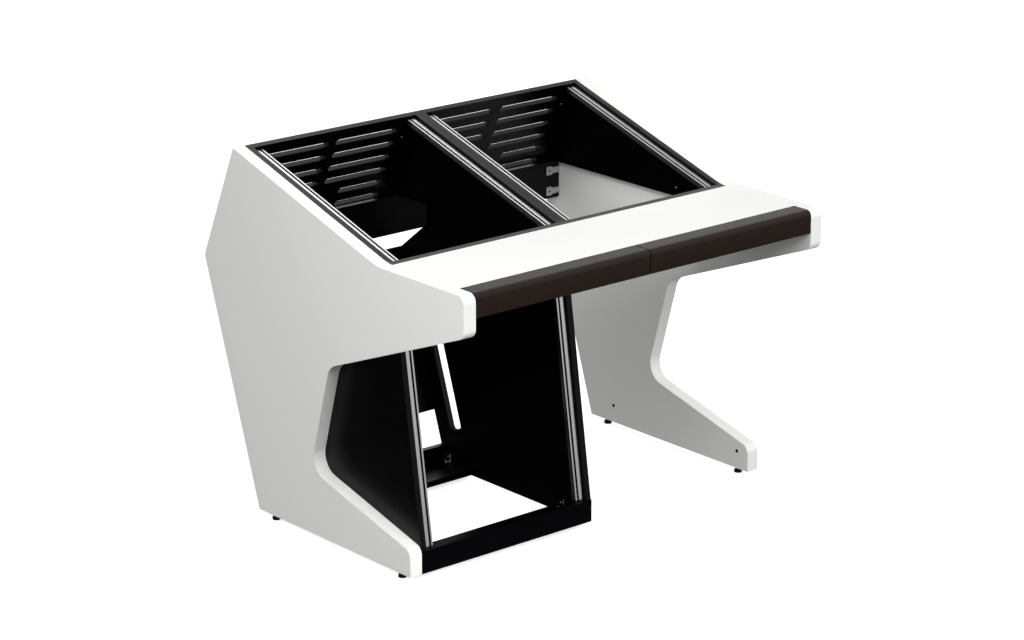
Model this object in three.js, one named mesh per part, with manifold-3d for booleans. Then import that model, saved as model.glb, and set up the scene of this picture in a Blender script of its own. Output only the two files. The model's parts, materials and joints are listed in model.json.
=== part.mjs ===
// Studio desk with two slanted rack bays behind the deck and a third rack under the left bay.
// Two white side panels carry a deck with a padded armrest; the rack boards between them are black.
// Millimetres. X runs to the right as seen from the seat, Y to the rear, Z up.
// The origin is on the floor, under the middle of the desk's box.
import * as THREE from 'three';
import { mergeVertices } from 'three/addons/utils/BufferGeometryUtils.js';
import Module from 'manifold-3d';

const wasm = await Module();
wasm.setup();

// Driving dimensions

const rackOpening = 450;      // clear width between a pair of rack rails, for 19-inch equipment
const rackUnit = 44.45;       // height of one rack unit
const rackBoard = 16;         // thickness of the black boards
const sidePanel = 36;         // thickness of the white side panels
const deckBoard = 18;         // thickness of the deck
const seam = 0.3;             // gap between neighbouring pieces
const runningGap = 0.1;       // radial clearance round a thread or a pivot
const overrun = 5;            // how far a cut reaches past the face that it opens

// Outline of the white side panels. Depths count from the foot of the rear edge, to the rear.
const side = {
  deckHeight: 737,
  rearMidDepth: 204,
  rearMidDrop: 124.5,         // from the deck's top down to the bend in the rear edge
  crestDepth: 73,
  crestRise: 172,             // from the deck's top up to the crest
  slopeFootDepth: -484,
  noseDepth: -798,
  noseDrop: 99,               // from the deck's top down to the nose's lower corner
  kneeDepth: -295,
  kneeHeight: 444,
  waistDepth: -216.5,
  waistHeight: 168.5,
  toeDepth: -597,
  toeHeight: 67,
  rearRadius: 25,
  slopeFootRadius: 150,
  noseRadius: 22,
  kneeRadius: 50,
  waistRadius: 50,
  toeRadius: 26,
  edgeRound: 1.5,
};

// Black frame of the two upper bays
const rack = {
  boardDrop: 59,              // from the deck's top down to the lower edges of the boards
  frontLap: 13,               // from the front board's face back to the foot of the slope
};

// Aluminium rack rail, seen on its end: a T-slot holds a threaded strip
const rail = {
  width: 25.7,
  depth: 13,
  recess: 7.5,                // below the front edges of the boards
  innerLip: 4.6,
  slotWidth: 6,
  slotDepth: 3,
  chamberWidth: 11,
  chamberDepth: 5,
  endGap: 2,
};
const strip = { holePitch: 31.75, holeRadius: 2.5, endMargin: 8 };

// Rear panel: rows of long slots in pairs, with short slots in the rows below
const vent = {
  firstRow: 37,               // from the panel's upper edge to the middle of the first row
  rowPitch: 40,
  slotHeight: 15,
  slotGap: 20,                // between the two long slots of a row
  outerReach: 205,            // from a bay's middle to a slot's outer end
  shortInner: 64,             // from a bay's middle to a short slot's inner end
  footMargin: 12,             // from the panel's lower edge to the bend in the side panels' rear edge
};

// Small pan-head screws of the rear panel, and where they sit
const screw = { headRadius: 3.2, headHeight: 1.6, shankRadius: 1.6, shankLength: 11 };
const ventScrew = { fromTop: 61, fromBoard: 24.5 };

// Rear stretcher, and the steel plates let into the side panels to hold it
const stretcher = { clearance: 5.7, height: 100 };  // clearance in depth, from its upper edge to the rear panel
const tiePlate = {
  reach: 46,
  headLength: 18,
  headHeight: 23,
  armHeight: 16,
  cornerRadius: 3,
  thickness: 2,
  holeRadius: 3.2,
  holeFromEnd: 11,
  tongue: 10,
  fromTop: 24,
  fromFoot: 20,
};

// Armrest, the rail behind it under the deck, and the bolts through that rail
const armrest = { depth: 58, noseRadius: 14, lowerRadius: 2.5, middleGap: 1.2 };
const deckRail = { thickness: 18 };
const bolt = {
  headRadius: 5,
  headHeight: 4,
  shankRadius: 3,
  shankLength: 42,
  socketRadius: 2,
  socketDepth: 2.5,
  fromEnd: 90,
};

// Lower rack
const lower = {
  kickHeight: 57,
  edgeLap: 3,                 // from the kick boards' faces back to the side boards' edges
  rearSetback: 54,            // from the side panels' rear edge in to the side boards' rear edge
  footBoardDepth: 99,
  notchDepth: 17,
  notchDrop: 49,
  notchRadius: 25,
  notchFootDrop: 134.7,
  rearPanelLow: 139,
  rearPanelLap: 2,            // from the foot of the notch up to the leaning panel's upper edge
};
const cableSlot = { width: 47, setback: 53, lowEnd: 99.5, highEnd: 440, cornerRadius: 10 };
const bracket = { leg: 20, length: 16, thickness: 2, frontInset: 14 };

// Levelling feet under the side panels
const foot = {
  stand: 17,                  // from the floor to the panel
  frontInset: 52,
  rearInset: 47,
  padRadius: 10.2,
  padHeight: 9,
  padFloor: 4,
  padChamfer: 1.2,
  stemRadius: 4,
  stemTop: 24,
  collarAcross: 12,
  collarHeight: 3,
  sleeveRadius: 7,
  sleeveLength: 18,
  boreDepth: 34,
};

// Blind holes in the inner faces of the side panels, near their feet
const pilotHole = { radius: 3.8, depth: 12, height: 47, frontInset: 40, rearInset: 88 };

// Counts

const longRows = 4;
const shortRows = 2;
const arcSteps = 14;          // in a quarter turn of a large corner
const smallArcSteps = 4;
const slotEndSteps = 4;       // in half of a slot's round end
const holeSteps = 3;
const roundSides = 16;
const screwSides = 10;

// Places worked out from the sizes

const bayWidth = rackOpening + 2 * (rail.width + seam);
const bayMiddle = rackBoard + bayWidth / 2;
const innerHalf = 2 * rackBoard + bayWidth;
const outerHalf = innerHalf + sidePanel;
const fullWidth = [-innerHalf + seam, innerHalf - seam];
const frameFoot = side.deckHeight - rack.boardDrop;
const frontBoardFront = side.slopeFootDepth - rack.frontLap;
const frontBoardRear = frontBoardFront + rackBoard;
const armrestRear = side.noseDepth + armrest.depth;
const kickFront = side.toeDepth;
const kickRear = kickFront + rackBoard;
const lowerRearFoot = -lower.rearSetback;
const rearKickFront = lowerRearFoot - lower.edgeLap;
const rearKickRear = rearKickFront + rackBoard;
const rearMidHeight = side.deckHeight - side.rearMidDrop;
const crestHeight = side.deckHeight + side.crestRise;
const rearSlope = side.rearMidDepth / rearMidHeight;
const hands = [['left', -1], ['right', 1]];

// Materials

function finish(color, roughness, metalness = 0) {
  return new THREE.MeshStandardMaterial({ color, roughness, metalness });
}

const whiteBoard = finish(0xe9eae4, 0.45);
const blackBoard = finish(0x0d0d10, 0.55);
const armrestSkin = finish(0x2a1c15, 0.5);
const aluminium = finish(0xc9cbcc, 0.3, 0.9);
const darkSteel = finish(0x3a3a3c, 0.45, 0.8);
const zincSteel = finish(0xb4b5b0, 0.35, 0.85);
const blackPlastic = finish(0x111112, 0.6);

// Outline tools. A corner of an outline is [across, up, radius], and the radius may be left out.

function roundCorners(corners, quarterSteps = arcSteps) {
  const points = [];
  const count = corners.length;
  corners.forEach(([across, up, radius = 0], index) => {
    const corner = new THREE.Vector2(across, up);
    if (!radius) {
      points.push(corner);
      return;
    }
    const before = new THREE.Vector2(...corners[(index + count - 1) % count].slice(0, 2));
    const after = new THREE.Vector2(...corners[(index + 1) % count].slice(0, 2));
    const toBefore = before.sub(corner).normalize();
    const toAfter = after.sub(corner).normalize();
    const halfAngle = Math.acos(toBefore.dot(toAfter)) / 2;
    const centre = toBefore.clone().add(toAfter).normalize();
    centre.multiplyScalar(radius / Math.sin(halfAngle)).add(corner);
    const tangent = radius / Math.tan(halfAngle);
    const start = corner.clone().addScaledVector(toBefore, tangent).sub(centre);
    const end = corner.clone().addScaledVector(toAfter, tangent).sub(centre);
    const turn = Math.atan2(start.cross(end), start.dot(end));
    const steps = Math.max(3, Math.ceil(quarterSteps * Math.abs(turn) / (Math.PI / 2)));
    for (let step = 0; step <= steps; step += 1) {
      points.push(start.clone().rotateAround(new THREE.Vector2(), turn * step / steps).add(centre));
    }
  });
  return points;
}

// Keeps the part of an outline on the side of a line that its normal points to.
function keepSide(points, anchor, normal) {
  const heightOf = (point) => point.clone().sub(anchor).dot(normal);
  const kept = [];
  points.forEach((point, index) => {
    const next = points[(index + 1) % points.length];
    const here = heightOf(point);
    const there = heightOf(next);
    if (here >= 0) kept.push(point);
    if (here * there < 0) kept.push(point.clone().lerp(next, here / (here - there)));
  });
  return kept;
}

// A shape whose outline runs anticlockwise, so that clockwise holes can be cut in it.
function outlineShape(points) {
  return new THREE.Shape(THREE.ShapeUtils.isClockWise(points) ? points.slice().reverse() : points);
}

// Solid tools

const alongX = new THREE.Matrix4().makeBasis(
  new THREE.Vector3(0, 1, 0), new THREE.Vector3(0, 0, 1), new THREE.Vector3(1, 0, 0));
const alongY = new THREE.Matrix4().makeBasis(
  new THREE.Vector3(1, 0, 0), new THREE.Vector3(0, 0, 1), new THREE.Vector3(0, -1, 0));

// Extrudes an outline of depths and heights from one x to another.
function prismAlongX(shape, [low, high], round = 0) {
  const geometry = new THREE.ExtrudeGeometry(shape, {
    depth: high - low - 2 * round,
    bevelEnabled: round > 0,
    bevelThickness: round,
    bevelSize: round,
    bevelOffset: -round,
    bevelSegments: 2,
    curveSegments: slotEndSteps,
  });
  return geometry.applyMatrix4(alongX).translate(low + round, 0, 0);
}

// Extrudes an outline of x and heights from one depth to another.
function prismAlongY(shape, [low, high]) {
  const geometry = new THREE.ExtrudeGeometry(shape, {
    depth: high - low,
    bevelEnabled: false,
    curveSegments: slotEndSteps,
  });
  return geometry.applyMatrix4(alongY).translate(0, high, 0);
}

function block([lowX, highX], [lowY, highY], [lowZ, highZ]) {
  const geometry = new THREE.BoxGeometry(highX - lowX, highY - lowY, highZ - lowZ);
  return geometry.translate((lowX + highX) / 2, (lowY + highY) / 2, (lowZ + highZ) / 2);
}

// A turned piece about Z, from a closed profile of [radius, height].
function turned(profile, sides = roundSides) {
  const points = profile.map(([radius, height]) => new THREE.Vector2(radius, height));
  points.push(points[0].clone());
  return new THREE.LatheGeometry(points, sides).rotateX(Math.PI / 2);
}

function rod(radius, low, high, sides = roundSides) {
  const geometry = new THREE.CylinderGeometry(radius, radius, high - low, sides);
  return geometry.rotateX(Math.PI / 2).translate(0, 0, (low + high) / 2);
}

function toSolid(geometry) {
  const bare = new THREE.BufferGeometry();
  bare.setAttribute('position', geometry.getAttribute('position').clone());
  if (geometry.index) bare.setIndex(geometry.index.clone());
  const merged = mergeVertices(bare);
  return new wasm.Manifold(new wasm.Mesh({
    numProp: 3,
    vertProperties: new Float32Array(merged.getAttribute('position').array),
    triVerts: new Uint32Array(merged.index.array),
  }));
}

function toGeometry(solid) {
  const mesh = solid.getMesh();
  const geometry = new THREE.BufferGeometry();
  geometry.setAttribute('position', new THREE.BufferAttribute(new Float32Array(mesh.vertProperties), 3));
  geometry.setIndex(new THREE.BufferAttribute(new Uint32Array(mesh.triVerts), 1));
  geometry.computeVertexNormals();
  return geometry;
}

function cut(geometry, tools) {
  let solid = toSolid(geometry);
  tools.forEach((tool) => {
    solid = solid.subtract(toSolid(tool));
  });
  return toGeometry(solid);
}

const desk = new THREE.Group();

function place(name, geometry, material, position = [0, 0, 0], rotation = [0, 0, 0]) {
  const mesh = new THREE.Mesh(geometry, material.clone());
  mesh.name = name;
  mesh.position.set(...position);
  mesh.rotation.set(...rotation);
  desk.add(mesh);
}

// Fasteners. Each seat is a matrix with its origin on the face under the head and +Z out of that face.

function panScrew() {
  const { headRadius, headHeight, shankRadius, shankLength } = screw;
  return turned([
    [0, seam - shankLength],
    [shankRadius, seam - shankLength],
    [shankRadius, seam],
    [headRadius, seam],
    [headRadius, seam + headHeight / 2],
    [headRadius / 2, seam + headHeight],
    [0, seam + headHeight],
  ], screwSides);
}

function screwBore() {
  return rod(screw.shankRadius + seam, -screw.shankLength, overrun, screwSides);
}

function atSeats(shape, seats) {
  return seats.map((seat) => shape().applyMatrix4(seat));
}

function placeFasteners(name, shape, seats) {
  atSeats(shape, seats).forEach((geometry, index) => {
    place(`${name}_${index + 1}`, geometry, zincSteel);
  });
}

function seatAt(x, y, z, turnX) {
  return new THREE.Matrix4().makeRotationX(turnX).setPosition(x, y, z);
}

// Side panel outline, and the lines that other pieces follow

const rearMid = new THREE.Vector2(side.rearMidDepth, rearMidHeight);
const crest = new THREE.Vector2(side.crestDepth, crestHeight);
const slopeFoot = new THREE.Vector2(side.slopeFootDepth, side.deckHeight);
const ventUp = crest.clone().sub(rearMid).normalize();
const ventInward = new THREE.Vector2(-ventUp.y, ventUp.x);
const ventTilt = Math.atan2(ventUp.y, ventUp.x);
const ventInner = crest.clone().addScaledVector(ventInward, rackBoard);
const slopeUp = crest.clone().sub(slopeFoot).normalize();
const slopeOutward = new THREE.Vector2(-slopeUp.y, slopeUp.x);

const sideOutline = roundCorners([
  [0, 0],
  [side.rearMidDepth, rearMidHeight, side.rearRadius],
  [side.crestDepth, crestHeight],
  [side.slopeFootDepth, side.deckHeight, side.slopeFootRadius],
  [side.noseDepth, side.deckHeight, side.noseRadius],
  [side.noseDepth, side.deckHeight - side.noseDrop, side.noseRadius],
  [side.kneeDepth, side.kneeHeight, side.kneeRadius],
  [side.waistDepth, side.waistHeight, side.waistRadius],
  [side.toeDepth, side.toeHeight, side.toeRadius],
  [side.toeDepth, 0],
]);

// White side panels: bores for the feet, pockets for the plates and pilot holes

const stretcherTop = frameFoot - seam;
const stretcherLow = stretcherTop - stretcher.height;
const ventDepth = ventInner.x + (stretcherTop - ventInner.y) * ventUp.x / ventUp.y;
const stretcherFront = ventDepth - stretcher.clearance - rackBoard;
const plateHeights = { upper: stretcherTop - tiePlate.fromTop, lower: stretcherLow + tiePlate.fromFoot };
const footDepths = { front: side.toeDepth + foot.frontInset, rear: -foot.rearInset };
const pilotDepths = [side.toeDepth + pilotHole.frontInset, -pilotHole.rearInset];
const footX = innerHalf + sidePanel / 2;

function sidePanelCuts(hand) {
  const inner = hand * innerHalf;
  const cuts = Object.values(footDepths).flatMap((depth) => [
    rod(foot.sleeveRadius + seam, -overrun, foot.sleeveLength + seam).translate(hand * footX, depth, 0),
    rod(foot.stemRadius + seam, -overrun, foot.boreDepth).translate(hand * footX, depth, 0),
  ]);
  pilotDepths.forEach((depth) => {
    const hole = rod(pilotHole.radius, -overrun, pilotHole.depth).rotateY(hand * Math.PI / 2);
    cuts.push(hole.translate(inner, depth, pilotHole.height));
  });
  Object.values(plateHeights).forEach((height) => {
    const ends = [inner - hand * overrun, inner + hand * (tiePlate.tongue + seam)];
    const halfHeight = tiePlate.armHeight / 2 + seam;
    cuts.push(block(
      ends.sort((a, b) => a - b),
      [stretcherFront - tiePlate.thickness - 2 * seam, stretcherFront],
      [height - halfHeight, height + halfHeight]));
  });
  return cuts;
}

hands.forEach(([word, hand]) => {
  const ends = [hand * innerHalf, hand * outerHalf].sort((a, b) => a - b);
  const panel = prismAlongX(outlineShape(sideOutline), ends, side.edgeRound);
  place(`side_panel_${word}`, cut(panel, sidePanelCuts(hand)), whiteBoard);
});

// Black boards of the upper bays, cut to the outline of the side panels

const rackFloor = new THREE.Vector2(0, frameFoot);
const upward = new THREE.Vector2(0, 1);
const rearward = new THREE.Vector2(1, 0);
const frontward = new THREE.Vector2(-1, 0);
const ventFace = ventInner.clone().addScaledVector(ventInward, seam);
const frameOutline = keepSide(sideOutline, rackFloor, upward);

let bayOutline = keepSide(frameOutline, new THREE.Vector2(frontBoardRear + seam, 0), rearward);
bayOutline = keepSide(bayOutline, ventFace, ventInward);

const outerBoards = {
  left: [-innerHalf + seam, -innerHalf + rackBoard],
  right: [innerHalf - rackBoard, innerHalf - seam],
};
Object.entries(outerBoards).forEach(([word, ends]) => {
  place(`rack_side_${word}`, prismAlongX(outlineShape(bayOutline), ends), blackBoard);
});

const dividers = { left: [-rackBoard, -seam / 2], right: [seam / 2, rackBoard] };
Object.entries(dividers).forEach(([word, ends]) => {
  place(`rack_divider_${word}`, prismAlongX(outlineShape(bayOutline), ends), blackBoard);
});

let frontBoard = keepSide(frameOutline, new THREE.Vector2(frontBoardFront, 0), rearward);
frontBoard = keepSide(frontBoard, new THREE.Vector2(frontBoardRear, 0), frontward);
place('rack_front_board', prismAlongX(outlineShape(frontBoard), fullWidth), blackBoard);

// Rear panel with its slots and screws

const ventFoot = rearMid.clone().addScaledVector(ventUp, vent.footMargin);
const ventTopInner = ventInner.clone().addScaledVector(
  ventUp, rackBoard * slopeUp.dot(ventUp) / slopeUp.dot(ventInward));
const ventFootInner = ventFoot.clone().addScaledVector(ventInward, rackBoard);
const ventProfile = [crest, ventTopInner, ventFootInner, ventFoot];

function ventSlot(from, to, row) {
  const radius = vent.slotHeight / 2;
  const shape = new THREE.Shape();
  shape.absarc(to - radius, 0, radius, -Math.PI / 2, Math.PI / 2);
  shape.absarc(from + radius, 0, radius, Math.PI / 2, Math.PI * 3 / 2);
  const tool = new THREE.ExtrudeGeometry(shape, {
    depth: rackBoard + 2 * overrun,
    bevelEnabled: false,
    curveSegments: slotEndSteps,
  });
  const middle = crest.clone().addScaledVector(ventUp, -(vent.firstRow + row * vent.rowPitch));
  middle.addScaledVector(ventInward, -overrun);
  return tool.rotateX(ventTilt).translate(0, middle.x, middle.y);
}

const ventTools = [];
[-bayMiddle, bayMiddle].forEach((middle) => {
  for (let row = 0; row < longRows + shortRows; row += 1) {
    const inner = row < longRows ? vent.slotGap / 2 : vent.shortInner;
    ventTools.push(ventSlot(middle - vent.outerReach, middle - inner, row));
    ventTools.push(ventSlot(middle + inner, middle + vent.outerReach, row));
  }
});

const ventScrewPlace = ventInner.clone().addScaledVector(ventUp, -ventScrew.fromTop);
const ventScrewReach = bayWidth / 2 - ventScrew.fromBoard;
const ventScrewSeats = [-bayMiddle, bayMiddle].flatMap((middle) => [-1, 1].map(
  (hand) => seatAt(middle + hand * ventScrewReach, ventScrewPlace.x, ventScrewPlace.y, ventTilt)));

const ventCuts = ventTools.concat(atSeats(screwBore, ventScrewSeats));
const ventPanel = prismAlongX(outlineShape(ventProfile), fullWidth);
place('rear_vent_panel', cut(ventPanel, ventCuts), blackBoard);
placeFasteners('vent_panel_screw', panScrew, ventScrewSeats);

// Rack rails and the threaded strips in their slots

function railShape(hand) {
  const { width, depth, innerLip, slotWidth, slotDepth, chamberWidth, chamberDepth } = rail;
  const slotMiddle = innerLip + slotWidth / 2;
  const chamberLow = slotMiddle - chamberWidth / 2;
  const chamberHigh = slotMiddle + chamberWidth / 2;
  const chamberFloor = -slotDepth - chamberDepth;
  const outline = [
    [0, -depth],
    [width, -depth],
    [width, 0],
    [innerLip + slotWidth, 0],
    [innerLip + slotWidth, -slotDepth],
    [chamberHigh, -slotDepth],
    [chamberHigh, chamberFloor],
    [chamberLow, chamberFloor],
    [chamberLow, -slotDepth],
    [innerLip, -slotDepth],
    [innerLip, 0],
    [0, 0],
  ];
  return outlineShape(outline.map(([across, out]) => new THREE.Vector2(hand * across, out)));
}

function stripGeometry(length, units) {
  const halfWidth = rail.chamberWidth / 2 - seam;
  const halfLength = length / 2 - strip.endMargin;
  const thickness = rail.chamberDepth - 2 * seam;
  const shape = new THREE.Shape([[-1, -1], [1, -1], [1, 1], [-1, 1]].map(
    ([across, along]) => new THREE.Vector2(across * halfWidth, along * halfLength)));
  for (let unit = 0; unit < units; unit += 1) {
    const unitMiddle = (unit - (units - 1) / 2) * rackUnit;
    [-1, 1].forEach((end) => {
      const hole = new THREE.Path();
      hole.absarc(0, unitMiddle + end * strip.holePitch / 2, strip.holeRadius, 0, Math.PI * 2, true);
      shape.holes.push(hole);
    });
  }
  const geometry = new THREE.ExtrudeGeometry(shape, {
    depth: thickness,
    bevelEnabled: false,
    curveSegments: holeSteps,
  });
  return geometry.translate(0, 0, -thickness).rotateX(-Math.PI / 2);
}

// A rail hangs down from its upper end, and its face looks along outward.
// Hand is 1 where the rail's inner edge is its left edge.
function placeRail(name, innerEdge, hand, top, outward, length) {
  const tilt = Math.atan2(outward.y, outward.x);
  const units = Math.floor((length - 2 * strip.endMargin) / rackUnit);
  const geometry = new THREE.ExtrudeGeometry(railShape(hand), { depth: length, bevelEnabled: false });
  place(`${name}_rail`, geometry, aluminium, [innerEdge, top.x, top.y], [tilt, 0, 0]);
  const slotMiddle = innerEdge + hand * (rail.innerLip + rail.slotWidth / 2);
  const down = new THREE.Vector2(-outward.y, outward.x);
  const seat = top.clone().addScaledVector(outward, -(rail.slotDepth + seam)).addScaledVector(down, length / 2);
  const stripPlace = [slotMiddle, seat.x, seat.y];
  place(`${name}_threaded_strip`, stripGeometry(length, units), darkSteel, stripPlace, [tilt, 0, 0]);
}

const upperRails = {
  upper_left_outer: [-bayMiddle - rackOpening / 2, -1],
  upper_left_inner: [-bayMiddle + rackOpening / 2, 1],
  upper_right_inner: [bayMiddle - rackOpening / 2, -1],
  upper_right_outer: [bayMiddle + rackOpening / 2, 1],
};
const railNear = slopeFoot.clone().addScaledVector(slopeOutward, -rail.recess);
const railFoot = railNear.clone().addScaledVector(
  slopeUp, (frontBoardRear + rail.endGap - railNear.x) / slopeUp.x);
const railToVent = ventFace.clone().sub(railFoot).dot(ventInward) / slopeUp.dot(ventInward);
const upperRailLength = railToVent - rail.endGap;
const railTop = railFoot.clone().addScaledVector(slopeUp, upperRailLength);
Object.entries(upperRails).forEach(([name, [edge, hand]]) => {
  placeRail(name, edge, hand, railTop, slopeOutward, upperRailLength);
});

// Side boards of the lower rack

const lowerTop = frameFoot - seam;
const notchFoot = lowerTop - lower.notchFootDrop;
const lowerFrontFoot = new THREE.Vector2(kickFront + lower.edgeLap, lower.kickHeight + seam);
const lowerFrontTop = new THREE.Vector2(frontBoardFront - lower.edgeLap, lowerTop);
const lowerUp = lowerFrontTop.clone().sub(lowerFrontFoot).normalize();
const lowerOutward = new THREE.Vector2(-lowerUp.y, lowerUp.x);
const rearUp = new THREE.Vector2(rearSlope, 1).normalize();
const rearOutward = new THREE.Vector2(rearUp.y, -rearUp.x);

const lowerSide = roundCorners([
  [kickRear + seam, 0],
  [kickRear + seam, lowerFrontFoot.y],
  [lowerFrontFoot.x, lowerFrontFoot.y],
  [lowerFrontTop.x, lowerTop],
  [lower.notchDepth, lowerTop],
  [lower.notchDepth, lowerTop - lower.notchDrop, lower.notchRadius],
  [lowerRearFoot + rearSlope * notchFoot, notchFoot],
  [lowerRearFoot, 0],
]);

function cableSlotHole() {
  const slotFoot = lowerRearFoot - cableSlot.setback;
  const rearCorners = [cableSlot.lowEnd, cableSlot.highEnd].map(
    (height) => new THREE.Vector2(slotFoot + rearSlope * height, height));
  const frontCorners = rearCorners.map(
    (corner) => corner.clone().addScaledVector(rearOutward, -cableSlot.width * rearUp.y));
  const corners = [rearCorners[0], rearCorners[1], frontCorners[1], frontCorners[0]];
  return new THREE.Path(roundCorners(corners.map(({ x, y }) => [x, y, cableSlot.cornerRadius]), smallArcSteps));
}

const lowerSideEnds = { left: [-innerHalf + seam, -innerHalf + rackBoard], right: [-rackBoard, 0] };
const betweenSides = [lowerSideEnds.left[1] + seam, lowerSideEnds.right[0] - seam];
const kickRearFace = kickRear + seam;
const rearKickFace = rearKickFront - seam;
const footBoardEdges = { front: kickRearFace + lower.footBoardDepth, rear: rearKickFace - lower.footBoardDepth };

// Side boards, foot boards, kick boards and leaning rear panel of the lower rack

Object.entries(lowerSideEnds).forEach(([word, ends]) => {
  const shape = outlineShape(lowerSide);
  if (word === 'right') shape.holes.push(cableSlotHole());
  place(`lower_side_${word}`, prismAlongX(shape, ends), blackBoard);
});

const footBoardSpans = {
  front: [kickRearFace, footBoardEdges.front],
  rear: [footBoardEdges.rear, rearKickFace],
};
Object.entries(footBoardSpans).forEach(([word, depths]) => {
  place(`${word}_foot_board`, block(betweenSides, depths, [0, rackBoard]), blackBoard);
});

const kickSpan = [-innerHalf + seam, lowerSideEnds.right[1]];
place('front_kick_board', block(kickSpan, [kickFront, kickRear], [0, lower.kickHeight]), blackBoard);
place('rear_kick_board', block(betweenSides, [rearKickFront, rearKickRear], [0, lower.kickHeight]), blackBoard);

function rearPanelCorner(height, offset) {
  const face = new THREE.Vector2(lowerRearFoot + rearSlope * height, height);
  return face.addScaledVector(rearOutward, offset);
}

const rearPanelHigh = notchFoot + lower.rearPanelLap;
const rearPanelProfile = [
  rearPanelCorner(lower.rearPanelLow, seam),
  rearPanelCorner(lower.rearPanelLow, seam + rackBoard),
  rearPanelCorner(rearPanelHigh, seam + rackBoard),
  rearPanelCorner(rearPanelHigh, seam),
];
place('lower_rear_panel', prismAlongX(outlineShape(rearPanelProfile), kickSpan), blackBoard);

// Corner brackets that tie the foot boards to the side boards

const bracketDepths = {
  front: footBoardEdges.front - bracket.frontInset - bracket.length,
  rear: rearKickFace - seam - bracket.length,
};
const bracketCorners = { left: [betweenSides[0], 1], right: [betweenSides[1], -1] };

function bracketShape(corner, hand) {
  const { leg, thickness } = bracket;
  const angle = [[0, 0], [leg, 0], [leg, thickness], [thickness, thickness], [thickness, leg], [0, leg]];
  return outlineShape(angle.map(
    ([across, up]) => new THREE.Vector2(corner + hand * across, rackBoard + seam + up)));
}

Object.entries(bracketDepths).forEach(([end, low]) => {
  Object.entries(bracketCorners).forEach(([word, [corner, hand]]) => {
    const angle = prismAlongY(bracketShape(corner, hand), [low, low + bracket.length]);
    place(`${end}_bracket_${word}`, angle, darkSteel);
  });
});

// Rails of the lower rack, from just above the kick board to just below the front board

const lowerRails = {
  lower_left: [-bayMiddle - rackOpening / 2, -1],
  lower_right: [-bayMiddle + rackOpening / 2, 1],
};
const lowerRailTop = lowerFrontTop.clone().addScaledVector(lowerOutward, -rail.recess);
lowerRailTop.addScaledVector(lowerUp, -(rail.recess + rail.endGap) * Math.abs(lowerUp.x / lowerUp.y));
const lowerRailLength = (lowerRailTop.y - lower.kickHeight - rail.endGap) / lowerUp.y;
Object.entries(lowerRails).forEach(([name, [edge, hand]]) => {
  placeRail(name, edge, hand, lowerRailTop, lowerOutward, lowerRailLength);
});

// Rear stretcher and its plates

const stretcherDepths = [stretcherFront, stretcherFront + rackBoard];
place('rear_stretcher', block(fullWidth, stretcherDepths, [stretcherLow, stretcherTop]), blackBoard);

function tiePlateShape(hand, height) {
  const { reach, headLength, headHeight, armHeight, cornerRadius, tongue, holeRadius, holeFromEnd } = tiePlate;
  const neck = -reach + headLength + (headHeight - armHeight) / 2;
  const corners = [
    [-reach, -headHeight / 2, cornerRadius],
    [-reach + headLength, -headHeight / 2, cornerRadius],
    [neck, -armHeight / 2],
    [tongue, -armHeight / 2],
    [tongue, armHeight / 2],
    [neck, armHeight / 2],
    [-reach + headLength, headHeight / 2, cornerRadius],
    [-reach, headHeight / 2, cornerRadius],
  ];
  const shape = outlineShape(roundCorners(corners, smallArcSteps).map(
    (point) => new THREE.Vector2(hand * (innerHalf + point.x), height + point.y)));
  const hole = new THREE.Path();
  hole.absarc(hand * (innerHalf - reach + holeFromEnd), height, holeRadius, 0, Math.PI * 2, true);
  shape.holes.push(hole);
  return shape;
}

hands.forEach(([word, hand]) => {
  Object.entries(plateHeights).forEach(([level, height]) => {
    const face = stretcherFront - seam;
    const plate = prismAlongY(tiePlateShape(hand, height), [face - tiePlate.thickness, face]);
    place(`stretcher_plate_${level}_${word}`, plate, zincSteel);
  });
});

// Deck, the rail under its front edge, and the armrest with its bolts

const deckFoot = side.deckHeight - deckBoard;
const deckDepths = [armrestRear + seam, frontBoardFront - seam];
place('deck_board', block(fullWidth, deckDepths, [deckFoot, side.deckHeight]), whiteBoard);

const deckRailDepths = [armrestRear + seam, armrestRear + seam + deckRail.thickness];
const boltHeight = (frameFoot + deckFoot) / 2;
const armrestEnds = {
  left: [-innerHalf + seam, -armrest.middleGap / 2],
  right: [armrest.middleGap / 2, innerHalf - seam],
};

function boltSeats([low, high]) {
  return [low + bolt.fromEnd, high - bolt.fromEnd].map(
    (x) => seatAt(x, deckRailDepths[1], boltHeight, -Math.PI / 2));
}

function boltShape() {
  const { headRadius, headHeight, shankRadius, shankLength, socketRadius, socketDepth } = bolt;
  return turned([
    [0, seam - shankLength],
    [shankRadius, seam - shankLength],
    [shankRadius, seam],
    [headRadius, seam],
    [headRadius, seam + headHeight],
    [socketRadius, seam + headHeight],
    [socketRadius, seam + headHeight - socketDepth],
    [0, seam + headHeight - socketDepth],
  ], screwSides);
}

function boltBore() {
  return rod(bolt.shankRadius + seam, -bolt.shankLength, overrun, screwSides);
}

const allBoltSeats = Object.values(armrestEnds).flatMap(boltSeats);
const deckRailBlock = block(fullWidth, deckRailDepths, [frameFoot, deckFoot - seam]);
place('deck_front_rail', cut(deckRailBlock, atSeats(boltBore, allBoltSeats)), blackBoard);
placeFasteners('armrest_bolt', boltShape, allBoltSeats);

const armrestNose = roundCorners([
  [armrestRear, frameFoot],
  [armrestRear, side.deckHeight],
  [side.noseDepth, side.deckHeight, armrest.noseRadius],
  [side.noseDepth, frameFoot],
]);
Object.entries(armrestEnds).forEach(([word, ends]) => {
  const bar = prismAlongX(outlineShape(armrestNose), ends, armrest.lowerRadius / 2);
  place(`armrest_${word}`, cut(bar, atSeats(boltBore, boltSeats(ends))), armrestSkin);
});

// Levelling feet: a sleeve in the panel, a threaded stem with a hexagonal collar, and a pad that turns on it

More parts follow.
